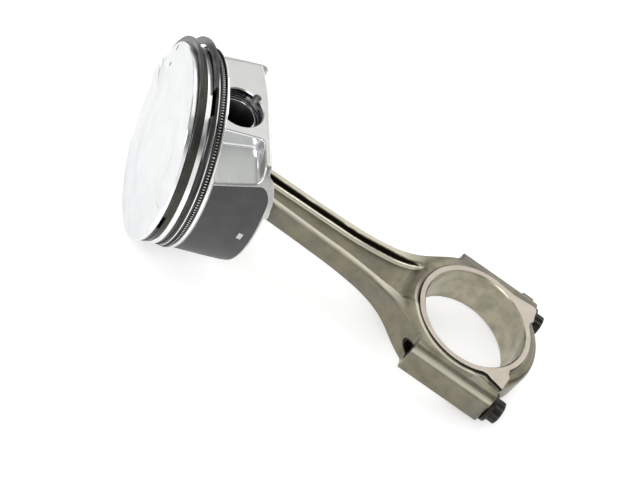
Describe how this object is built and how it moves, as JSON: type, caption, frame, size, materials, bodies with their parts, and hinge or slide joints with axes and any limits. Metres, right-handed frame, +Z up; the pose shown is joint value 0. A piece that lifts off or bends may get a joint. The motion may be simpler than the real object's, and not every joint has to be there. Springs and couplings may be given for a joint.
{
  "type": "piston and connecting rod",
  "caption": "Four-stroke engine piston with rings and wrist pin on a forged connecting rod with a bolted cap, lying on its side.",
  "frame": {"origin": "centre of the footprint, at the plane that the assembly lies on", "axes": "+X along the rod from the piston to the big end, +Z up; the wrist pin stands nearly upright, and the end of it that tops the assembly is the front"},
  "size_m": [0.2206, 0.1022, 0.0958],
  "materials": {
    "piston": "machined, with a dark coating printed on both skirts",
    "compression_ring": "dark phosphated",
    "oil_ring": "polished",
    "circlip": "blackened spring wire",
    "wrist_pin": "ground",
    "rod": "shot-peened forging with ground faces",
    "bolt": "black oxide",
    "bush": "bored bronze"
  },
  "bodies": {
    "rod": {"connecting_rod": "rod", "rod_cap": "rod", "rod_bolt_near": "bolt", "rod_bolt_far": "bolt", "small_end_bush": "bush"},
    "piston": {"piston": "piston", "circlip_front": "circlip", "circlip_rear": "circlip"},
    "pin": {"wrist_pin": "wrist_pin"},
    "top_ring": {"top_compression_ring": "compression_ring"},
    "second_ring": {"second_compression_ring": "compression_ring"},
    "upper_rail": {"oil_ring_upper_rail": "oil_ring"},
    "expander": {"oil_ring_expander": "oil_ring"},
    "lower_rail": {"oil_ring_lower_rail": "oil_ring"}
  },
  "joints": [
    {"name": "piston_swing", "type": "hinge", "parent": "rod", "child": "piston", "pos_m": [-0.06456, 0.00193, 0.0435], "axis": [0.19, 0.0319, 0.9813], "range_deg": [-73.5, 16.5]},
    {"name": "pin_turn", "type": "hinge", "parent": "piston", "child": "pin", "pos_m": [-0.06456, 0.00193, 0.0435], "axis": [0.19, 0.0319, 0.9813], "continuous": true},
    {"name": "top_ring_turn", "type": "hinge", "parent": "piston", "child": "top_ring", "pos_m": [-0.08472, -0.00746, 0.0489], "axis": [-0.8628, -0.4715, 0.1823], "continuous": true},
    {"name": "second_ring_turn", "type": "hinge", "parent": "piston", "child": "second_ring", "pos_m": [-0.0792, -0.00368, 0.04827], "axis": [-0.8628, -0.4715, 0.1823], "continuous": true},
    {"name": "upper_rail_turn", "type": "hinge", "parent": "piston", "child": "upper_rail", "pos_m": [-0.07636, -0.004, 0.04635], "axis": [-0.8628, -0.4715, 0.1823], "continuous": true},
    {"name": "expander_turn", "type": "hinge", "parent": "piston", "child": "expander", "pos_m": [-0.07472, -0.00362, 0.04564], "axis": [-0.8628, -0.4715, 0.1823], "continuous": true},
    {"name": "lower_rail_turn", "type": "hinge", "parent": "piston", "child": "lower_rail", "pos_m": [-0.07438, -0.00292, 0.04593], "axis": [-0.8628, -0.4715, 0.1823], "continuous": true}
  ]
}
